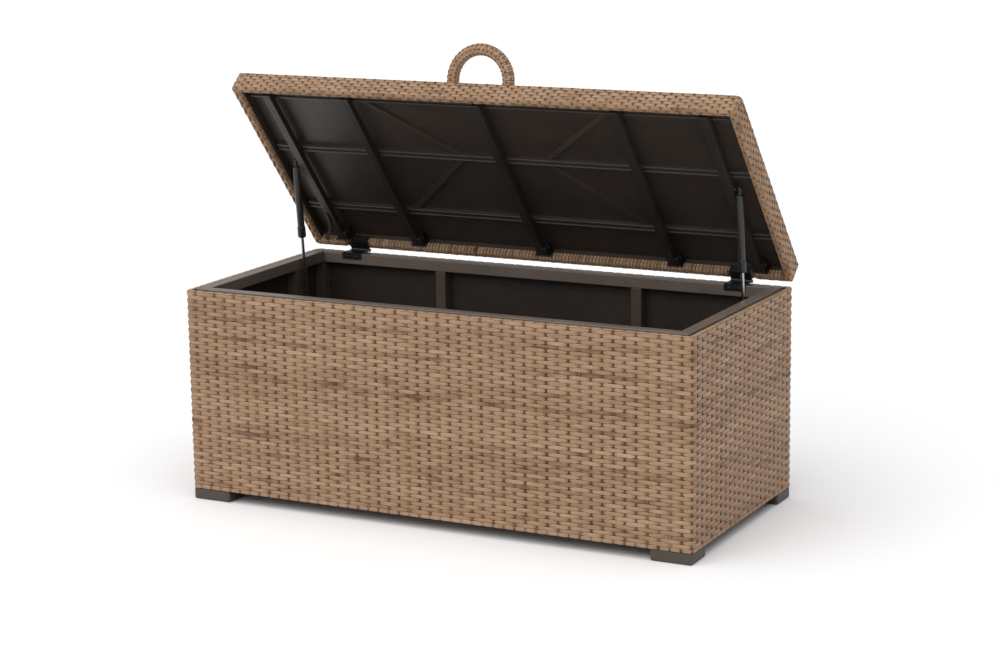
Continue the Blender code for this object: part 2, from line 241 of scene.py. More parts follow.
def set_inputs(node, **values):
    """Sets inputs by name: an underscore stands for a space, and a tuple is a colour."""
    for key, value in values.items():
        socket = node.inputs[key.replace("_", " ")]
        socket.default_value = (*value, 1.0) if isinstance(value, tuple) else value
    return node


def scaled_noise(nodes, links, source, scale, detail=3.0, roughness=0.6):
    """A noise texture over a coordinate that is stretched by scale, one number per axis."""
    stretch = nodes.new("ShaderNodeVectorMath")
    stretch.operation = "MULTIPLY"
    stretch.inputs[1].default_value = scale
    links.new(source, stretch.inputs[0])
    noise = nodes.new("ShaderNodeTexNoise")
    set_inputs(noise, Scale=1.0, Detail=detail, Roughness=roughness)
    links.new(stretch.outputs[0], noise.inputs["Vector"])
    return noise.outputs["Fac"]


def ramp(nodes, links, source, stops):
    node = nodes.new("ShaderNodeValToRGB")
    elements = node.color_ramp.elements
    while len(elements) < len(stops):
        elements.new(0.5)
    for element, (place, colour) in zip(elements, stops):
        element.position = place
        element.color = (*colour, 1.0)
    links.new(source, node.inputs["Fac"])
    return node.outputs["Color"]


def spread(nodes, links, source, low, high, start=0.0, end=1.0):
    """Stretches the span from start to end to the span from low to high."""
    node = nodes.new("ShaderNodeMapRange")
    values = {"From Min": start, "From Max": end, "To Min": low, "To Max": high}
    for key, value in values.items():
        node.inputs[key].default_value = value
    links.new(source, node.inputs["Value"])
    return node.outputs["Result"]


def multiply(nodes, links, colour, factor):
    node = nodes.new("ShaderNodeMix")
    node.data_type = "RGBA"
    node.blend_type = "MULTIPLY"
    node.inputs["Factor"].default_value = 1.0
    links.new(colour, node.inputs["A"])
    links.new(factor, node.inputs["B"])
    return node.outputs["Result"]


def add_bump(nodes, links, shader, height, strength, distance):
    bump = nodes.new("ShaderNodeBump")
    set_inputs(bump, Strength=strength, Distance=distance)
    links.new(height, bump.inputs["Height"])
    links.new(bump.outputs["Normal"], shader.inputs["Normal"])


def wicker_material(name, stops):
    """Flat resin strand: each has its own tone, with fine streaks along its length."""
    mat, nodes, links = new_material(name)
    shader = set_inputs(nodes["Principled BSDF"], IOR=1.40)
    place = nodes.new("ShaderNodeUVMap")
    place.uv_map = "strand"
    tone = nodes.new("ShaderNodeAttribute")
    tone.attribute_name = "tone"
    where = place.outputs["UV"]
    streaks = scaled_noise(nodes, links, where, scale=(45.0, 1900.0, 1.0))
    drift = scaled_noise(nodes, links, where, scale=(14.0, 260.0, 1.0), detail=2.0)
    mixed = nodes.new("ShaderNodeMath")
    mixed.operation = "MULTIPLY_ADD"
    mixed.inputs[1].default_value = DRIFT_SHARE
    links.new(drift, mixed.inputs[0])
    links.new(tone.outputs["Fac"], mixed.inputs[2])
    colour = ramp(nodes, links, mixed.outputs[0], stops)
    shade = spread(nodes, links, streaks, low=0.60, high=1.26, start=0.28, end=0.72)
    links.new(multiply(nodes, links, colour, shade), shader.inputs["Base Color"])
    gloss = spread(nodes, links, streaks, low=0.42, high=0.62)
    links.new(gloss, shader.inputs["Roughness"])
    add_bump(nodes, links, shader, streaks, strength=0.45, distance=0.00025)
    return mat


def painted_material(name, colour, roughness, grain=2600.0, depth=0.00004, drift=0.12):
    """Powder coat: a fine orange-peel bump and a slow change of shade and gloss."""
    mat, nodes, links = new_material(name)
    shader = set_inputs(nodes["Principled BSDF"], IOR=1.5)
    place = nodes.new("ShaderNodeTexCoord").outputs["Object"]
    slow = scaled_noise(nodes, links, place, scale=(7.0, 7.0, 7.0), detail=4.0)
    fine = scaled_noise(nodes, links, place, scale=(grain, grain, grain), detail=2.0)
    dark = tuple(c * (1.0 - drift) for c in colour)
    light = tuple(c * (1.0 + drift) for c in colour)
    tinted = ramp(nodes, links, slow, ((0.3, dark), (0.7, light)))
    links.new(tinted, shader.inputs["Base Color"])
    low, high = roughness - 0.05, roughness + 0.05
    gloss = spread(nodes, links, slow, low, high, start=0.3, end=0.7)
    links.new(gloss, shader.inputs["Roughness"])
    add_bump(nodes, links, shader, fine, strength=0.5, distance=depth)
    return mat


def sheet_material(name, colour, roughness):
    """Dark woven liner sheet: a fine square weave, with faint scuffs."""
    mat, nodes, links = new_material(name)
    shader = set_inputs(nodes["Principled BSDF"], IOR=1.45)
    place = nodes.new("ShaderNodeTexCoord").outputs["Object"]
    slow = scaled_noise(nodes, links, place, scale=(4.0, 4.0, 4.0), detail=5.0)
    scuffs = scaled_noise(nodes, links, place, scale=(30.0, 210.0, 210.0), detail=4.0)
    weave = nodes.new("ShaderNodeTexVoronoi")
    weave.feature = "F1"
    set_inputs(weave, Scale=900.0, Randomness=0.25)
    links.new(place, weave.inputs["Vector"])
    dark = tuple(c * 0.85 for c in colour)
    light = tuple(c * 1.2 for c in colour)
    tinted = ramp(nodes, links, slow, ((0.35, dark), (0.65, light)))
    shade = spread(nodes, links, scuffs, low=0.92, high=1.10, start=0.35, end=0.7)
    links.new(multiply(nodes, links, tinted, shade), shader.inputs["Base Color"])
    low, high = roughness - 0.04, roughness + 0.08
    gloss = spread(nodes, links, scuffs, low, high, start=0.3, end=0.7)
    links.new(gloss, shader.inputs["Roughness"])
    add_bump(nodes, links, shader, weave.outputs["Distance"], strength=0.25, distance=0.0002)
    return mat


def steel_material(name, colour, roughness):
    """Polished rod: faint rings from grinding."""
    mat, nodes, links = new_material(name)
    shader = set_inputs(nodes["Principled BSDF"], Metallic=1.0)
    place = nodes.new("ShaderNodeTexCoord").outputs["Object"]
    rings = scaled_noise(nodes, links, place, scale=(60.0, 900.0, 3000.0), detail=2.0)
    light = tuple(min(c * 1.15, 1.0) for c in colour)
    tinted = ramp(nodes, links, rings, ((0.3, colour), (0.7, light)))
    links.new(tinted, shader.inputs["Base Color"])
    gloss = spread(nodes, links, rings, roughness - 0.06, roughness + 0.08)
    links.new(gloss, shader.inputs["Roughness"])
    return mat


DRIFT_SHARE = 0.45  # of a strand's tone
# The darkest stops colour the stakes and the border's nicks, as painted shade.
TAN_STOPS = (
    (0.00, (0.050, 0.022, 0.010)),
    (0.20, (0.135, 0.070, 0.035)),
    (0.38, (0.315, 0.187, 0.104)),
    (0.62, (0.400, 0.255, 0.155)),
    (0.95, (0.530, 0.365, 0.240)),
)
MAT_WICKER = wicker_material("wicker", TAN_STOPS)
MAT_CORE = painted_material("core_paint", (0.052, 0.038, 0.028), 0.55)
# The rim's coat is the posts' and sills' coat made about twice as light: painted light for the sheen
# on its lit top.
MAT_RIM_LIT_COPY = painted_material("rim_paint_lit_copy", (0.165, 0.132, 0.108), 0.30)
MAT_FRAME = painted_material("frame_paint", (0.085, 0.065, 0.051), 0.40)
MAT_LID_FRAME = painted_material("lid_frame_paint", (0.048, 0.036, 0.028), 0.36)
MAT_RIB = painted_material("rib_paint", (0.024, 0.019, 0.015), 0.42)
MAT_BLACK = painted_material("black_paint", (0.012, 0.012, 0.013), 0.34)
MAT_FOOT = painted_material("foot_plastic", (0.060, 0.046, 0.034), 0.50, grain=900.0, depth=0.0001)
MAT_LINER = sheet_material("liner_sheet", (0.038, 0.029, 0.023), 0.38)
MAT_STRUT = painted_material("strut_paint", (0.020, 0.020, 0.021), 0.30, drift=0.05)
MAT_STEEL = steel_material("rod_steel", (0.42, 0.41, 0.40), 0.26)


# ---------------------------------------------------------------- weaving

def unit_rows(rows):
    return rows / np.linalg.norm(rows, axis=1)[:, None]


def strand_axes(centre, out, closed, roll):
    """The directions across a strand and out of it at each point, turned by roll."""
    ahead = np.roll(centre, -1, 0) - np.roll(centre, 1, 0)
    if not closed:
        ahead[0] = centre[1] - centre[0]
        ahead[-1] = centre[-1] - centre[-2]
    ahead = unit_rows(ahead)
    across = unit_rows(np.cross(out, ahead))
    out = np.cross(ahead, across)
    roll = np.broadcast_to(roll, len(centre))[:, None]
    side = across * np.cos(roll) + out * np.sin(roll)
    rise = out * np.cos(roll) - across * np.sin(roll)
    return side, rise


class Strands:
    """Gathers flat strands into one mesh, each with its tone and its own streaks."""

    SPACING = 0.1  # between two strands in the streak texture

    def __init__(self):
        self.points = []
        self.quads = []
        self.coords = []
        self.tones = []
        self.count = 0
        self.number = 0

    def add(self, centre, out, half, thick, tone, closed=False, roll=0.0):
        """One strand: its centre line, and the outward direction, half width, tone and roll
        at each point of it, or one value for all."""
        n = len(centre)
        m = len(SECTION)
        side, rise = strand_axes(centre, out, closed, roll)
        half = np.broadcast_to(half, n)[:, None]
        edges = [centre + side * (a * half) + rise * ((b - 0.5) * thick) for a, b in SECTION]
        self.points.append(np.stack(edges, 1).reshape(-1, 3))
        self.tones.append(np.repeat(np.broadcast_to(tone, n), m))
        steps = np.linalg.norm(np.diff(centre, axis=0, append=centre[:1]), axis=1)
        along = np.concatenate([[0.0], np.cumsum(steps)])
        girth = 4.0 * half.mean()
        around = np.arange(m + 1) * (girth / m) + self.number * self.SPACING
        last = n if closed else n - 1
        i, j = np.meshgrid(np.arange(last), np.arange(m), indexing="ij")
        i, j = i.ravel(), j.ravel()
        i2, j2 = (i + 1) % n, (j + 1) % m
        quads = np.stack([i * m + j, i2 * m + j, i2 * m + j2, i * m + j2], 1)
        u = np.stack([along[i], along[i + 1], along[i + 1], along[i]], 1)
        v = np.stack([around[j], around[j], around[j + 1], around[j + 1]], 1)
        if not closed:
            cap = np.array(SECTION_CAP)
            quads = np.concatenate([quads, cap, cap[:, ::-1] + (n - 1) * m])
            u = np.concatenate([u, np.zeros((4, 4))])
            v = np.concatenate([v, np.full((4, 4), around[0])])
        self.quads.append(quads + self.count)
        self.coords.append(np.stack([u, v], 2).reshape(-1, 2))
        self.count += n * m
        self.number += 1

    def build(self, name, place, mat):
        points = np.concatenate(self.points)
        quads = np.concatenate(self.quads)
        mesh = bpy.data.meshes.new(name)
        mesh.vertices.add(len(points))
        mesh.vertices.foreach_set("co", points.astype(np.float32).ravel())
        mesh.loops.add(quads.size)
        mesh.loops.foreach_set("vertex_index", quads.astype(np.int32).ravel())
        mesh.polygons.add(len(quads))
        mesh.polygons.foreach_set("loop_start", np.arange(0, quads.size, 4, dtype=np.int32))
        mesh.polygons.foreach_set("use_smooth", np.ones(len(quads), bool))
        mesh.update(calc_edges=True)
        layer = mesh.uv_layers.new(name="strand")
        coords = np.concatenate(self.coords).astype(np.float32)
        layer.uv.foreach_set("vector", coords.ravel())
        tone = mesh.attributes.new("tone", "FLOAT", "POINT")
        tone.data.foreach_set("value", np.concatenate(self.tones).astype(np.float32))
        mesh.materials.append(mat)
        obj = bpy.data.objects.new(name, mesh)
        obj.matrix_world = place
        bpy.context.scene.collection.objects.link(obj)
        return obj


class Ring:
    """A rounded rectangle, walked from the middle of its front, with a stake at every pitch."""

    def __init__(self, half_x, half_y, radius, pitch):
        a = half_x - radius
        b = half_y - radius
        arc = radius * math.pi / 2
        legs = (0.0, a, arc, 2 * b, arc, 2 * a, arc, 2 * b, arc, a)
        self.marks = np.cumsum(legs)
        self.x = (0, a, a, a, a, -a, -a, -a, -a, 0)
        self.y = (-b, -b, -b, b, b, b, b, -b, -b, -b)
        self.facing = (-90, -90, 0, 0, 90, 90, 180, 180, 270, 270)
        self.radius = radius
        self.stakes = 2 * round(self.marks[-1] / pitch / 2)

    def at(self, stake, inset, height, tilt, depth):
        """Points at these stake numbers, inset and height, sunk by depth along a normal that
        is tilted up by tilt. It also gives the normals and the directions across a strand."""
        s = np.mod(stake, self.stakes) * self.marks[-1] / self.stakes
        n = len(s)
        x = np.interp(s, self.marks, self.x)
        y = np.interp(s, self.marks, self.y)
        anchor = np.stack([x, y], 1)
        angle = np.radians(np.interp(s, self.marks, self.facing))
        flat = np.stack([np.cos(angle), np.sin(angle)], 1)
        tilt = np.broadcast_to(tilt, n)[:, None]
        out = np.hstack([flat * np.cos(tilt), np.sin(tilt)])
        up = np.hstack([-flat * np.sin(tilt), np.cos(tilt)])
        reach = np.broadcast_to(self.radius - inset, n)[:, None]
        place = np.hstack([anchor + flat * reach, np.broadcast_to(height, n)[:, None]])
        return place - out * np.broadcast_to(depth, n)[:, None], out, up


def wander(stake, stakes, every, size, closed=True):
    """A random value every so many stakes, joined smoothly along a strand."""
    count = max(round(stakes / every), 2)
    values = rng.normal(0.0, size, count + 1)
    if closed:
        values[-1] = values[0]
    return np.interp(stake * count / stakes, np.arange(count + 1), values)


def weft_stakes(stakes, row, closed=True):
    """Where a strand is sampled, in stake numbers: closest where it dives under a stake."""
    first = row % 2 if closed else row % 2 - 2
    steps = np.add.outer(np.arange(first, stakes + row % 2, 2), WEFT_STEPS).ravel()
    if closed:
        return steps
    least = WEFT_STEPS[1] / 2
    inside = steps[(steps > least) & (steps < stakes - least)]
    return np.concatenate([[0.0], inside, [stakes]])


def weft_shape(stake, row):
    """Depth, half width and sideways shift of a strand along its length."""
    away = np.abs(np.mod(stake - row % 2 + 1.0, 2.0) - 1.0)
    dive = np.exp(-((away / WEFT_DIVE_WIDTH) ** 2))
    depth = WEFT_DEPTH + WEFT_BULGE * (1.0 - away) ** 2 + WEFT_DIVE * dive
    half = WEFT_HALF * (1.0 - WEFT_PINCH * dive)
    shift = WEFT_SLANT * np.sin(math.pi * (stake - row % 2))
    return depth, half, shift


def weft_tone(stake, stakes, closed=True):
    slow = wander(stake, stakes, 3, TONE_WANDER, closed)
    quick = wander(stake, stakes, 1, TONE_WANDER, closed)
    return WEFT_TONE + rng.normal(0.0, TONE_SPREAD) + slow + quick


def weave_strand(stake, stakes, row, closed):
    """Everything about one woven strand but its path: depth, half width, shift, tone, roll."""
    depth, half, shift = weft_shape(stake, row)
    depth = depth + wander(stake, stakes, 1, DEPTH_SPREAD, closed)
    half = half * (1.0 + wander(stake, stakes, 1, HALF_SPREAD, closed))
    shift = shift + wander(stake, stakes, 2, SHIFT_SPREAD, closed)
    tone = weft_tone(stake, stakes, closed)
    roll = wander(stake, stakes, 1, ROLL_SPREAD, closed)
    return depth, half, shift, tone, roll


def ring_row(strands, ring, row, inset, height, tilt, recess=None):
    """A strand woven once round the ring, pressed in by recess where something lies on it."""
    stake = weft_stakes(ring.stakes, row)
    depth, half, shift, tone, roll = weave_strand(stake, ring.stakes, row, True)
    centre, out, up = ring.at(stake, inset, height, tilt, depth)
    centre = centre + up * shift[:, None]
    if recess:
        centre = centre - out * recess(centre, out)[:, None]
    strands.add(centre, out, half, WEFT_THICK, tone, closed=True, roll=roll)


def stake_shade_tone(count):
    """Stakes stay near the darkest tone: painted shade for the gaps they are seen in, since they are
    the same tan strand as the rows.
    """
    return rng.normal(0.0, TONE_SPREAD) + wander(np.arange(count), count, 6, STAKE_TONE_WANDER, False)


def stake_depth(stake, rows):
    """A stake runs in front of every other row, and behind the rows between."""
    lift = np.where((np.arange(rows) + stake) % 2, 1.0, -1.0)
    return STAKE_DEPTH - STAKE_WAVE * lift


def ring_stakes(strands, ring, rows):
    """The stakes of a ring, each woven against its rows, given as (inset, height, tilt)."""
    inset, height, tilt = (np.array(column) for column in zip(*rows))
    for k in range(ring.stakes):
        depth = stake_depth(k, len(rows))
        centre, out, _ = ring.at(np.full(len(rows), k), inset, height, tilt, depth)
        # The stakes' dark tone is painted shade for the gaps between rows.
        strands.add(centre, out, STAKE_HALF, STAKE_THICK, stake_shade_tone(len(rows)))


# ---------------------------------------------------------------- woven body

def border_row(strands, ring, inset, height, tilt, half):
    """A plain strand along an edge, nicked where each stake is folded over it. Each nick's tone is
    also lowered, as painted shade in the notch.
    """
    step = np.arange(ring.stakes * BORDER_STEPS)
    stake = step / BORDER_STEPS
    nick = np.where(step % BORDER_STEPS == 0, 1.0, 0.0)
    depth = BORDER_THICK / 2 + BORDER_NICK * nick
    wide = half * (1 - BORDER_PINCH * nick)
    centre, out, _ = ring.at(stake, inset, height, tilt, depth)
    # The nick's lower tone is painted shade.
    tone = weft_tone(stake, ring.stakes) + BORDER_TONE + NICK_SHADE_TONE * nick
    strands.add(centre, out, wide, BORDER_THICK, tone, closed=True)


def body_rows():
    """(inset, height, tilt) of each row between the borders."""
    bottom = BOX_LOW.z + 2 * BORDER_SIDE_HALF
    top = BOX_HIGH.z - TOP_ROW_GAP
    count = round((top - bottom) / ROW_PITCH)
    pitch = (top - bottom) / count
    return [(WEAVE_INSET, bottom + (i + 0.5) * pitch, 0.0) for i in range(count)]


def make_body():
    """The woven walls: rows in three pieces, with a plain border at the foot and the top."""
    ring = Ring(BOX_HIGH.x, BOX_HIGH.y, BODY_CORNER, STAKE_PITCH)
    rows = body_rows()
    thirds = np.array_split(np.arange(len(rows)), 3)
    pieces = []
    for name, numbers in zip(("lower", "middle", "upper"), thirds):
        strands = Strands()
        for i in numbers:
            ring_row(strands, ring, i, *rows[i])
        if name == "lower":
            height = BOX_LOW.z + BORDER_SIDE_HALF
            border_row(strands, ring, BORDER_INSETS["side"], height, 0.0, BORDER_SIDE_HALF)
            inset = BORDER_INSETS["foot"]
            border_row(strands, ring, inset, BOX_LOW.z, -math.pi / 2, BORDER_HALF)
        if name == "upper":
            inset = BORDER_INSETS["top"]
            border_row(strands, ring, inset, BOX_HIGH.z, math.pi / 2, BORDER_HALF)
        pieces.append(strands.build("body_weave_" + name, BASE, MAT_WICKER))
    stakes = Strands()
    bottom = (WEAVE_INSET, BOX_LOW.z + STAKE_FOOT_GAP, 0.0)
    top = (WEAVE_INSET, BOX_HIGH.z - STAKE_TOP_GAP, 0.0)
    ring_stakes(stakes, ring, [bottom] + rows + [top])
    pieces.append(stakes.build("body_stakes", BASE, MAT_WICKER))
    for piece in pieces:
        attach(piece, "base")
    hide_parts(*WALLS)


# ---------------------------------------------------------------- woven lid

def lid_section(s):
    """(inset, height, tilt) at length s round the lid's edge: 0 is where the top starts to
    turn down, and the path runs round the lip and up its inner face."""
    r = LID_EDGE
    arc = r * math.pi / 2
    side = (LID_HIGH.z - LID_BOTTOM) - 2 * r
    flat = LIP_WIDTH - 2 * r
    far = 0.1  # the path runs on straight at both ends
    marks = np.cumsum((0.0, far, arc, side, arc, flat, arc, far)) - far
    top = LID_HIGH.z - r
    low = LID_BOTTOM + r
    across = np.interp(s, marks, (r + far, r, r, r, r, r + flat, r + flat, r + flat))
    up = np.interp(s, marks, (top, top, top, low, low, low, low, low + far))
    tilt = np.radians(np.interp(s, marks, (90, 90, 0, 0, -90, -90, -180, -180)))
    return across - r * np.cos(tilt), up + r * np.sin(tilt), tilt


def lid_edge_length():
    """Length of the section from the top's edge to the inner end of the lip's flat."""
    return LID_EDGE * math.pi + (LID_HIGH.z - LID_BOTTOM) - 2 * LID_EDGE


def hinge_recess(centre, out):
    """How far a strand is pressed in where a hinge leaf lies under the lip at the back."""
    amount = np.zeros(len(centre))
    for low, high in LEAVES:
        away = np.maximum(low.x - centre[:, 0], centre[:, 0] - high.x)
        amount += np.clip((LEAF_MARGIN - away) / LEAF_EASE, 0.0, 1.0)
    under = np.clip(-2.0 * out[:, 2], 0.0, 1.0) * (centre[:, 1] > 0.0)
    return (LIP_DROP + LEAF_CLEARANCE) * amount * under


def make_lid_edge():
    """The rows that run round the lid's edge, from the top's rim to under the lip."""
    ring = Ring(LID_HALF_X, LID_HALF_Y, LID_CORNER, LID_STAKE_PITCH)
    count = round(lid_edge_length() / ROW_PITCH)
    pitch = lid_edge_length() / count
    rows = [lid_section((i - 0.5) * pitch) for i in range(count + 2)]
    upper, lower, stakes = Strands(), Strands(), Strands()
    for i, row in enumerate(rows):
        ring_row(upper if i < len(rows) / 2 else lower, ring, i, *row, hinge_recess)
    ends = [lid_section(-1.3 * pitch), lid_section((count + 1.3) * pitch)]
    ring_stakes(stakes, ring, [ends[0]] + rows + [ends[1]])
    pieces = (
        upper.build("lid_edge_weave_upper", LID_PLACE, MAT_WICKER),
        lower.build("lid_edge_weave_lower", LID_PLACE, MAT_WICKER),
        stakes.build("lid_edge_stakes", LID_PLACE, MAT_WICKER),
    )
    for piece in pieces:
        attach(piece, "lid")
    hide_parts(*LID_SIDES)


def top_weft(half_x, spots, stakes, top):
    """The rows of the lid's top, at these places across it."""
    strands = Strands()
    for row, y in enumerate(spots):
        stake = weft_stakes(stakes, row, False)
        depth, half, shift, tone, roll = weave_strand(stake, stakes, row, False)
        depth[[0, -1]] = LID_END_DEPTH
        x = (stake / stakes * 2 - 1) * half_x
        centre = np.stack([x, y + shift, top - depth], 1)
        up = np.tile((0.0, 0.0, 1.0), (len(stake), 1))
        strands.add(centre, up, half, WEFT_THICK, tone, roll=roll)
    return strands


def top_stakes(half_x, spots, stakes, top):
    """The stakes of the lid's top, which end just past its first and last row."""
    strands = Strands()
    past = TOP_STAKE_PAST + (spots[1] - spots[0]) / 2
    spots = np.concatenate([[spots[0] - past], spots, [spots[-1] + past]])
    up = np.tile((0.0, 0.0, 1.0), (len(spots), 1))
    for k in range(1, stakes):
        depth = stake_depth(k, len(spots))
        x = np.full(len(spots), (2 * k / stakes - 1) * half_x)
        centre = np.stack([x, spots, top - depth], 1)
        # The stakes' dark tone is painted shade for the gaps between rows.
        strands.add(centre, up, STAKE_HALF, STAKE_THICK, stake_shade_tone(len(spots)))
    return strands


def make_lid_top():
    """The flat sheet of the lid, its strands running along the length."""
    margin = LID_EDGE + 0.6 * ROW_PITCH
    half_x = LID_HALF_X - margin
    half_y = LID_HALF_Y - margin
    rows = round(2 * half_y / ROW_PITCH)
    spots = (np.arange(rows) + 0.5) / rows * 2 * half_y - half_y
    sheet = (half_x, spots, 2 * round(half_x / STAKE_PITCH), LID_HIGH.z - WEAVE_INSET)
    weave = top_weft(*sheet).build("lid_top_weave", LID_PLACE, MAT_WICKER)
    stakes = top_stakes(*sheet).build("lid_top_stakes", LID_PLACE, MAT_WICKER)
    for piece in (weave, stakes):
        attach(piece, "lid")
    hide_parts("lid_top")


def lip_wrap(strands, place, outward, s):
    """One strand folded round the lip's inner edge at place, a point on the outer face."""
    inset, height, tilt = lid_section(s)
    out = np.hstack([np.outer(np.cos(tilt), outward), np.sin(tilt)[:, None]])
    spot = np.hstack([place - np.outer(inset, outward), height[:, None]])
    sink = WRAP_THICK / 2 + WEAVE_INSET + hinge_recess(spot, out)
    centre = spot - out * sink[:, None]
    tone = WRAP_TONE + rng.normal(0.0, WRAP_TONE_SPREAD)
    half = WRAP_HALF * (1 + rng.normal(0.0, WRAP_HALF_SPREAD))
    roll = rng.normal(0.0, ROLL_SPREAD)
    strands.add(centre, out, half, WRAP_THICK, tone, roll=roll)


def make_lip_wraps():
    """The close wraps round the lip, which reach up the inner face only at the back."""
    strands = Strands()
    start = lid_edge_length() + WRAP_START
    turn_end = lid_edge_length() + LIP_WIDTH - 2 * LID_EDGE + LID_EDGE * math.pi / 2
    short = np.linspace(start, turn_end + WRAP_SHORT_END, WRAP_POINTS)
    tall = np.append(short, turn_end + WRAP_TALL_END)
    sides = (
        ((0.0, -1.0), LID_HALF_X, LID_HALF_Y, short),
        ((0.0, 1.0), LID_HALF_X, LID_HALF_Y, tall),
        ((-1.0, 0.0), LID_HALF_Y, LID_HALF_X, short),
        ((1.0, 0.0), LID_HALF_Y, LID_HALF_X, short),
    )
    for outward, half_run, half_across, s in sides:
        run = half_run - LIP_WIDTH + WRAP_PITCH * 0.6
        outward = np.array(outward)
        along = np.array((outward[1], -outward[0]))
        count = round(2 * run / WRAP_PITCH)
        for i in range(count + 1):
            t = -run + 2 * run * i / count + rng.normal(0.0, WRAP_SHAKE)
            lip_wrap(strands, outward * half_across + along * t, outward, s)
    wraps = strands.build("lid_lip_wraps", LID_PLACE, MAT_WICKER)
    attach(wraps, "lid")


def rounded_loop(mesh, half_x, half_y, radius, height, per_corner=5):
    """A level rounded rectangle of points."""
    verts = []
    for corner in range(4):
        sx = 1 if corner in (0, 3) else -1
        sy = 1 if corner in (0, 1) else -1
        for i in range(per_corner):
            angle = math.pi / 2 * (corner + i / (per_corner - 1))
            x = sx * (half_x - radius) + radius * math.cos(angle)
            y = sy * (half_y - radius) + radius * math.sin(angle)
            verts.append(mesh.verts.new((x, y, height)))
    return verts


def skin(mesh, loops):
    """Joins a stack of loops with as many points each."""
    for lower, upper in zip(loops, loops[1:]):
        for i in range(len(lower)):
            j = (i + 1) % len(lower)
            mesh.faces.new((lower[i], lower[j], upper[j], upper[i]))


def loft(mesh, loops):
    """Skins a stack of loops and caps both ends."""
    skin(mesh, loops)
    mesh.faces.new(reversed(loops[0]))
    mesh.faces.new(loops[-1])


def add_object(name, mesh, place, mat, smooth=False):
    bmesh.ops.recalc_face_normals(mesh, faces=mesh.faces)
    data = bpy.data.meshes.new(name)
    mesh.to_mesh(data)
    mesh.free()
    data.polygons.foreach_set("use_smooth", [smooth] * len(data.polygons))
    data.materials.append(mat)
    obj = bpy.data.objects.new(name, data)
    obj.matrix_world = place
    bpy.context.scene.collection.objects.link(obj)
    return obj


def make_lid_core():
    """The dark tray that the lid's strands are woven round."""
    liner = extent(["lid_liner"], LID)
    mesh = bmesh.new()
    low = LID_BOTTOM + CORE_INSET
    high = LID_HIGH.z - CORE_INSET
    wall = LIP_WIDTH - CORE_WALL_GAP
    ceiling = liner[1].z + CORE_LINER_LAP
    edge = CORE_EDGE
    bevel = CORE_EDGE_BEVEL
    shape = (
        (wall, CORE_WELL_CORNER, ceiling),
        (wall, CORE_WELL_CORNER, low + edge),
        (wall - bevel, CORE_WELL_CORNER + 0.001, low + bevel),
        (wall - edge, CORE_WELL_CORNER + 0.002, low),
        (CORE_INSET + edge, CORE_CORNER, low),
        (CORE_INSET + bevel, CORE_CORNER, low + bevel),
        (CORE_INSET, CORE_CORNER, low + edge),
        (CORE_INSET, CORE_CORNER, high - edge),
        (CORE_INSET + bevel, CORE_CORNER, high - bevel),
        (CORE_INSET + edge, CORE_CORNER, high),
    )
    loops = []
    for inset, radius, height in shape:
        loops.append(rounded_loop(mesh, LID_HALF_X - inset, LID_HALF_Y - inset, radius, height))
    loft(mesh, loops)
    core = add_object("lid_core", mesh, LID_PLACE, MAT_CORE)
    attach(core, "lid")


# ---------------------------------------------------------------- handle

def handle_frame():
    """The arch's own axes, with its centre as their origin, and the arch's radius."""
    low, high = extent(["handle"], LID)
    radius = high.x - HANDLE_TUBE
    y = low.y + radius * math.sin(HANDLE_LEAN) + HANDLE_TUBE
    z = high.z - radius * math.cos(HANDLE_LEAN) - HANDLE_TUBE
    place = LID @ Matrix.Translation((0.0, y, z)) @ Matrix.Rotation(HANDLE_LEAN, 4, "X")
    return place, radius


def arch(s, radius):
    """Point, direction and outward direction at length s along the arch, from its left foot."""
    bend = math.pi * radius
    if s < HANDLE_LEG:
        point = (-radius, 0.0, s - HANDLE_LEG)
        ahead = np.array((0.0, 0.0, 1.0))
    elif s > HANDLE_LEG + bend:
        point = (radius, 0.0, HANDLE_LEG + bend - s)
        ahead = np.array((0.0, 0.0, -1.0))
    else:
        turned = math.pi - (s - HANDLE_LEG) / radius
        point = (radius * math.cos(turned), 0.0, radius * math.sin(turned))
        ahead = np.array((math.sin(turned), 0.0, -math.cos(turned)))
    return np.array(point), ahead, np.cross(ahead, HANDLE_SIDE)


def handle_rings(strands, radius, length, count):
    """The close wraps round the tube."""
    angles = np.linspace(0.0, 2 * math.pi, HANDLE_WRAP_SIDES, endpoint=False)
    for i in range(count + 1):
        point, ahead, out = arch(length * i / count, radius)
        ring = np.outer(np.cos(angles), HANDLE_SIDE) + np.outer(np.sin(angles), out)
        phase = rng.uniform(0, 6.3)  # anywhere round the tube
        lean = np.sin(angles + phase) * HANDLE_SKEW
        tone = WRAP_TONE + rng.normal(0.0, HANDLE_TONE_SPREAD)
        centre = point + ring * (HANDLE_CORE + HANDLE_WRAP_LIFT) + np.outer(lean, ahead)
        strands.add(centre, ring, HANDLE_WRAP_HALF, HANDLE_WRAP_THICK, tone, closed=True)


def handle_stakes(strands, radius, length, count):
    """The dark strands along the tube, which the wraps cross over and under."""
    spots = np.linspace(0.0, length, count * 2 + 1)
    for k, angle in enumerate(HANDLE_STAKES):
        centre, outward = [], []
        for j, s in enumerate(spots):
            point, _, out = arch(s, radius)
            away = math.cos(angle) * HANDLE_SIDE + math.sin(angle) * out
            wave = HANDLE_STAKE_WAVE * math.cos(math.pi * (j / 2 + k))
            centre.append(point + away * (HANDLE_CORE + HANDLE_STAKE_LIFT + wave))
            outward.append(away)
        step = np.arange(len(spots))
        tone = HANDLE_STAKE_TONE + wander(step, len(spots), 5, HANDLE_TONE_WANDER, False)
        path = (np.array(centre), np.array(outward))
        strands.add(*path, HANDLE_STAKE_HALF, HANDLE_STAKE_THICK, tone)


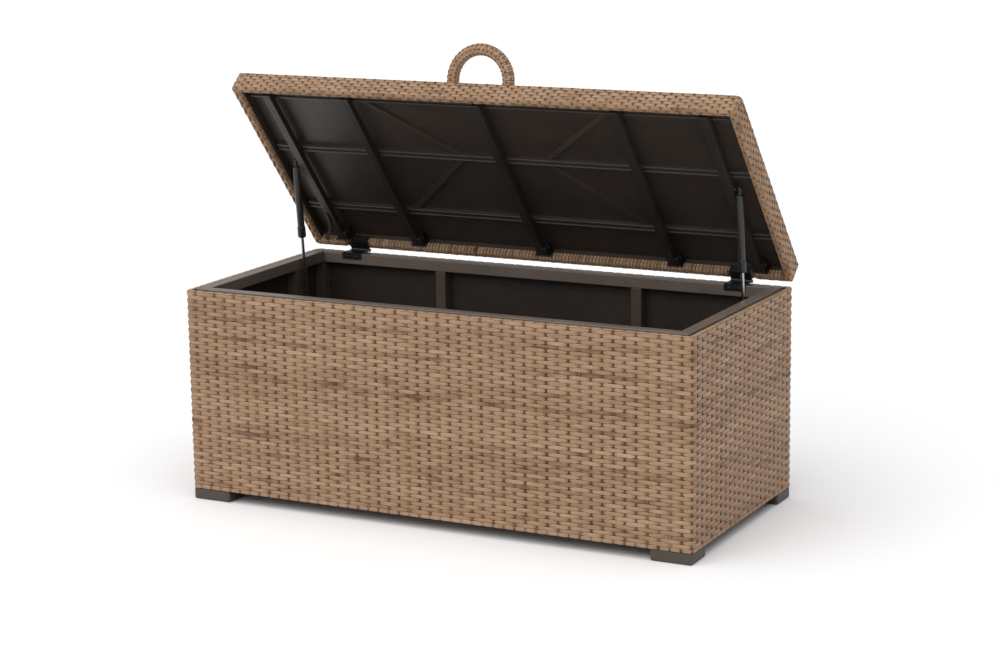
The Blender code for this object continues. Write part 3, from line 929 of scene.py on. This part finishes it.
def handle_tube(radius, length):
    """The dark tube under the wraps."""
    mesh = bmesh.new()
    reach = HANDLE_CORE - HANDLE_TUBE_GAP
    angles = np.linspace(0.0, 2 * math.pi, HANDLE_TUBE_SIDES, endpoint=False)
    loops = []
    for s in np.linspace(0.0, length, HANDLE_TUBE_RINGS):
        point, _, out = arch(s, radius)
        ring = np.outer(np.cos(angles), HANDLE_SIDE) + np.outer(np.sin(angles), out)
        loops.append([mesh.verts.new(spot) for spot in point + ring * reach])
    loft(mesh, loops)
    return mesh


def make_handle():
    place, radius = handle_frame()
    length = math.pi * radius + 2 * HANDLE_LEG
    count = round(length / HANDLE_WRAP)
    strands = Strands()
    handle_rings(strands, radius, length, count)
    handle_stakes(strands, radius, length, count)
    wraps = strands.build("handle_wraps", place, MAT_WICKER)
    mesh = handle_tube(radius, length)
    tube = add_object("handle_core", mesh, place, MAT_CORE, smooth=True)
    for piece in (wraps, tube):
        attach(piece, "lid")
    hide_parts("handle")


# ---------------------------------------------------------------- metalwork

def extrude(mesh, outline, low, high):
    """A closed outline of (y, z), run along x from low to high."""
    ends = [[mesh.verts.new((x, y, z)) for y, z in outline] for x in (low, high)]
    loft(mesh, ends)


def rail_outline(low, high):
    """Channel section: two lips with small chamfers, and a groove between them."""
    half = (high.y - low.y) / 2
    middle = (high.y + low.y) / 2
    face = low.z
    right = (
        (RAIL_GROOVE - RAIL_GROOVE_TAPER, face + RAIL_DEEP),
        (RAIL_GROOVE, face + CHAMFER),
        (RAIL_GROOVE + CHAMFER, face),
        (half - CHAMFER, face),
        (half, face + CHAMFER),
        (half, high.z),
    )
    left = [(-y, z) for y, z in reversed(right)]
    return [(middle + y, z) for y, z in (*left, *right)]


def make_rails():
    for name in ("lid_rail_front", "lid_rail_middle", "lid_rail_rear"):
        low, high = extent([name], LID)
        mesh = bmesh.new()
        extrude(mesh, rail_outline(low, high), low.x, high.x)
        rail = add_object(name + "_channel", mesh, LID, MAT_LID_FRAME)
        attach(rail, "lid")
        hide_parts(name)


def block(mesh, x, y, z):
    """A box with its edges along x chamfered, given as a span on each axis."""
    c = min(CHAMFER, (y[1] - y[0]) / 3, (z[1] - z[0]) / 3)
    outline = (
        (y[0] + c, z[0]),
        (y[1] - c, z[0]),
        (y[1], z[0] + c),
        (y[1], z[1] - c),
        (y[1] - c, z[1]),
        (y[0] + c, z[1]),
        (y[0], z[1] - c),
        (y[0], z[0] + c),
    )
    extrude(mesh, outline, *x)


def circle(mesh, centre, a, b, radius, sides):
    """A loop of points about centre, in the plane of the directions a and b."""
    turns = [2 * math.pi * i / sides for i in range(sides)]
    spots = [centre + (a * math.cos(t) + b * math.sin(t)) * radius for t in turns]
    return [mesh.verts.new(spot) for spot in spots]


def lathe(mesh, spot, out, profile, sides=16, hollow=False):
    """Spins a profile of (radius, height) about the line from spot along out. A hollow
    one is a ring, whose profile comes back to its start."""
    out = Vector(out).normalized()
    a = out.orthogonal().normalized()
    b = out.cross(a)
    loops = [circle(mesh, Vector(spot) + out * h, a, b, r, sides) for r, h in profile]
    if hollow:
        skin(mesh, loops + loops[:1])
    else:
        loft(mesh, loops)


def screw_head(mesh, spot, out, radius):
    """A low domed head with a socket in it."""
    shape = ((1.0, -0.2), (1.0, 0.2), (0.85, 0.45), (0.55, 0.60), (0.40, 0.60), (0.40, 0.25))
    lathe(mesh, spot, out, [(r * radius, h * radius) for r, h in shape])


def rib_span(number):
    """The rib's two sides along x. The outer ribs hold a strut's stud on their far side."""
    stock = extent(["lid_rib_3"], LID)
    width = stock[1].x - stock[0].x
    low, high = extent(["lid_rib_%d" % number], LID)
    return (low.x, low.x + width) if number == 5 else (high.x - width, high.x)


def make_brackets():
    """The black feet that tie each rib to the back of the lid: a tongue beside the rib,
    and a flange on the lip."""
    for number in range(1, 6):
        low, high = extent(["lid_rib_%d" % number], LID)
        left, right = rib_span(number)
        side = right + BRACKET_GAP
        flange = LIP_BACK - BRACKET_BACK
        top = high.z + BRACKET_RISE
        mesh = bmesh.new()
        tongue_y = (high.y - BRACKET_LAP, flange)
        block(mesh, (side, side + BRACKET_WIDE), tongue_y, (low.z, top))
        flange_x = (left - BRACKET_EARS[0], side + BRACKET_WIDE + BRACKET_EARS[1])
        flange_y = (flange, flange + BRACKET_FLANGE)
        block(mesh, flange_x, flange_y, (low.z - BRACKET_DROP, top))
        bolt = (side + BRACKET_WIDE, LIP_BACK - BOLT_BACK, low.z + BOLT_UP)
        screw_head(mesh, bolt, (1, 0, 0), BOLT_RADIUS)
        clip = add_object("lid_bracket_%d_clip" % number, mesh, LID, MAT_BLACK)
        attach(clip, "lid")
        if number in (2, 3, 4):
            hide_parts("lid_bracket_%d" % number)


def make_hinge_screws():
    """Two screws in each leaf of both hinges, near the leaf's far edge."""
    for side in ("left", "right"):
        for leaf, place in (("base", BASE), ("lid", LID)):
            low, high = extent(["hinge_%s_leaf_%s" % (leaf, side)], place)
            edge = HINGE_SCREW_EDGES[leaf]
            z = low.z + edge if leaf == "base" else high.z - edge
            mesh = bmesh.new()
            for share in (0.25, 0.75):
                x = low.x + (high.x - low.x) * share
                screw_head(mesh, (x, low.y, z), (0, -1, 0), HINGE_SCREW)
            name = "hinge_%s_screws_%s" % (leaf, side)
            heads = add_object(name, mesh, place, MAT_BLACK)
            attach(heads, leaf)


def make_strut_collars():
    """The plastic guide that closes the lower end of each cylinder, with the rod's hole."""
    shape = (
        (COLLAR_RADIUS - 0.0009, -COLLAR_LENGTH),
        (COLLAR_RADIUS - 0.0002, -COLLAR_LENGTH + 0.0015),
        (COLLAR_RADIUS, -0.0020),
        (COLLAR_RADIUS - 0.0010, 0.0012),
        (COLLAR_BORE, 0.0014),
        (COLLAR_BORE, 0.0004),
        (COLLAR_RADIUS - 0.0009, 0.0002),
    )
    for side in ("left", "right"):
        pivot = Vector(joint("strut_pivot_" + side)["pos_m"])
        down = -Vector(joint("strut_slide_" + side)["axis"])
        points = frame["nodes"]["strut_cylinder_" + side].data.vertices
        reach = max((v.co - pivot).dot(down) for v in points)
        mesh = bmesh.new()
        lathe(mesh, pivot + down * reach, down, shape, 24, hollow=True)
        collar = add_object("strut_collar_" + side, mesh, Matrix.Identity(4), MAT_BLACK)
        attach(collar, "strut_" + side)


def make_stay_strap():
    """A short black strap, bent from the left rib's face down to the lip at the corner."""
    rib, _ = extent(["lid_rib_1"], LID)
    _, rail = extent(["lid_rail_rear"], LID)
    middle = sum(rib_span(1)) / 2
    start = np.add((middle, rail.y, rib.z), STRAP_TOP)
    end = np.add((middle, LIP_BACK, LID_BOTTOM), STRAP_FOOT)
    t = np.linspace(0.0, 1.0, STRAP_POINTS)[:, None]
    bow = np.sin(math.pi * t) * np.array(STRAP_BOW)
    centre = start * (1 - t) + end * t + bow
    ahead = np.gradient(centre, axis=0)
    wide = unit_rows(np.cross(ahead, (0.0, 0.3, 1.0)))
    flat = unit_rows(np.cross(wide, ahead))
    mesh = bmesh.new()
    edges = []
    for a, b in ((-1, -1), (1, -1), (1, 1), (-1, 1)):
        edges.append(centre + wide * (a * STRAP_HALF) + flat * (b * STRAP_THICK / 2))
    loops = [[mesh.verts.new(spot) for spot in corners] for corners in np.stack(edges, 1)]
    loft(mesh, loops)
    strap = add_object("lid_stay_strap", mesh, LID, MAT_BLACK)
    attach(strap, "lid")


# ---------------------------------------------------------------- CAD pieces kept

def dress(prefixes, mat):
    """Gives a material to every CAD node whose name starts with one of the prefixes."""
    for name, node in frame["nodes"].items():
        if name.startswith(prefixes):
            for slot in node.material_slots:
                slot.material = mat


def dress_frame():
    dress(("liner", "floor_panel", "lid_liner"), MAT_LINER)
    # The rim gets the lighter copy of the frame's coat, painted light.
    dress(("rim",), MAT_RIM_LIT_COPY)
    dress(("sill", "post"), MAT_FRAME)
    dress(("lid_brace",), MAT_LID_FRAME)
    dress(("lid_rib",), MAT_RIB)
    dress(("hinge",), MAT_BLACK)
    dress(("foot",), MAT_FOOT)
    dress(("strut_cylinder",), MAT_STRUT)
    dress(("strut_rod",), MAT_STEEL)


# ---------------------------------------------------------------- stage

def make_floor():
    mesh = bmesh.new()
    bmesh.ops.create_grid(mesh, x_segments=1, y_segments=1, size=60.0)
    mat, nodes, _ = new_material("pale_floor")
    shader = set_inputs(nodes["Principled BSDF"], Base_Color=(0.95, 0.95, 0.955), Roughness=0.9)
    set_inputs(shader, Specular_IOR_Level=0.0)
    floor = add_object("floor", mesh, Matrix.Identity(4), mat)


def add_sun(name, direction, strength, angle):
    """A sun so wide that it works as a soft box; direction is the way to it."""
    data = bpy.data.lights.new(name, "SUN")
    data.energy = strength
    data.angle = math.radians(angle)
    lamp = bpy.data.objects.new(name, data)
    lamp.rotation_mode = "QUATERNION"
    lamp.rotation_quaternion = Vector(direction).to_track_quat("Z", "Y")
    bpy.context.scene.collection.objects.link(lamp)


def make_light():
    world = bpy.data.worlds.new("studio")
    bpy.context.scene.world = world
    world.use_nodes = True
    set_inputs(world.node_tree.nodes["Background"], Color=(0.99, 0.99, 1.0), Strength=0.48)
    add_sun("top_light", direction=(0.0, -0.42, 1.0), strength=1.95, angle=85.0)
    add_sun("key_light", direction=(-0.7, -1.6, 1.1), strength=0.42, angle=45.0)
    bpy.context.scene.view_settings.view_transform = "Standard"


def make_camera():
    data = bpy.data.cameras.new("camera")
    data.lens = CAMERA_LENS
    data.sensor_width = CAMERA_SENSOR
    camera = bpy.data.objects.new("camera", data)
    place = BASE @ Matrix.Translation(CAMERA_SPOT)
    place @= Matrix.Rotation(CAMERA_YAW, 4, "Z")
    place @= Matrix.Rotation(math.pi / 2 - CAMERA_PITCH, 4, "X")
    place @= Matrix.Rotation(CAMERA_ROLL, 4, "Z")
    camera.matrix_world = place
    bpy.context.scene.collection.objects.link(camera)
    bpy.context.scene.camera = camera


make_camera()
make_floor()
make_light()
make_body()
make_lid_edge()
make_lid_top()
make_lip_wraps()
make_lid_core()
make_handle()
make_rails()
make_brackets()
make_hinge_screws()
make_strut_collars()
make_stay_strap()
dress_frame()
